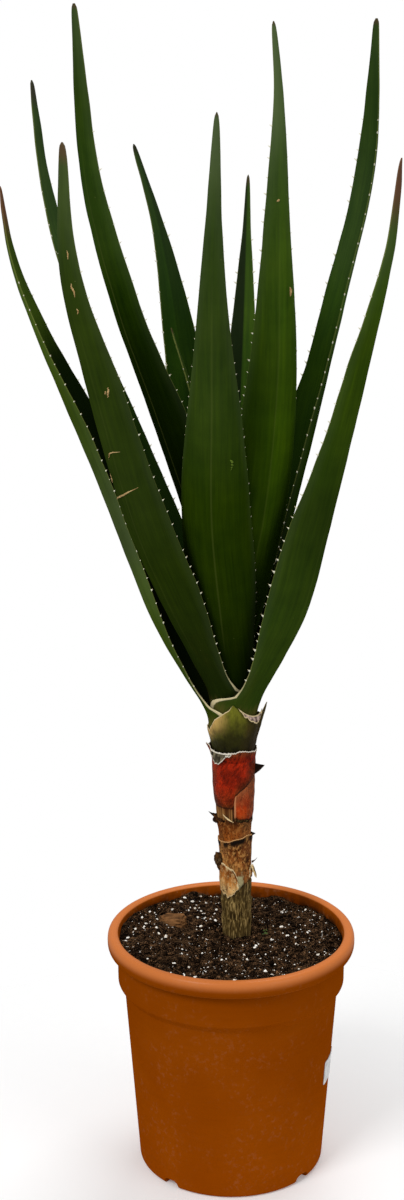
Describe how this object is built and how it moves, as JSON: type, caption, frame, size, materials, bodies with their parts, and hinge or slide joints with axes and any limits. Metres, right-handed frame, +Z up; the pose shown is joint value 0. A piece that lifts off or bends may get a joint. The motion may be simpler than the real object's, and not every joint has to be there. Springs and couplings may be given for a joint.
{
  "type": "potted tree aloe",
  "caption": "Tree aloe with long arching toothed leaves on a short bare stem wrapped in dried leaf sheaths, rooted in a round plastic nursery pot filled with peat and perlite",
  "frame": {"origin": "on the pot's axis, in the plane that the pot stands on", "axes": "+Z up along the pot's axis, +X to the right and +Y to the back as the plant is shown from its front; metres"},
  "size_m": [0.3499, 0.3227, 1.101],
  "materials": {
    "pot_plastic": "satin moulded terracotta-coloured plastic",
    "peat": "loose dark peat with white perlite grains",
    "bark": "rough weathered bark",
    "label_paper": "plain white sticker",
    "stem_bark": "dry olive-grey bark with fine lengthwise ribs",
    "leaf": "waxy deep green skin with pale toothed margins",
    "sheath_green": "dried olive leaf base",
    "sheath_dry": "papery cream fibre",
    "sheath_red": "dry streaky red-brown leaf base",
    "sheath_brown": "dry tan-brown leaf base"
  },
  "bodies": {
    "root": {"pot": "pot_plastic", "soil": "peat", "bark_chip": "bark", "label": "label_paper", "stem": "stem_bark", "leaf_01": "leaf", "leaf_02": "leaf", "leaf_03": "leaf", "leaf_04": "leaf", "leaf_05": "leaf", "leaf_06": "leaf", "leaf_07": "leaf", "leaf_08": "leaf", "leaf_09": "leaf", "leaf_10": "leaf", "leaf_11": "leaf", "leaf_12": "leaf", "sheath_olive": "sheath_green", "sheath_papery": "sheath_dry", "sheath_red": "sheath_red", "sheath_orange": "sheath_red", "sheath_brown": "sheath_brown", "sheath_tan": "sheath_brown", "sheath_low": "sheath_dry"}
  },
  "joints": []
}
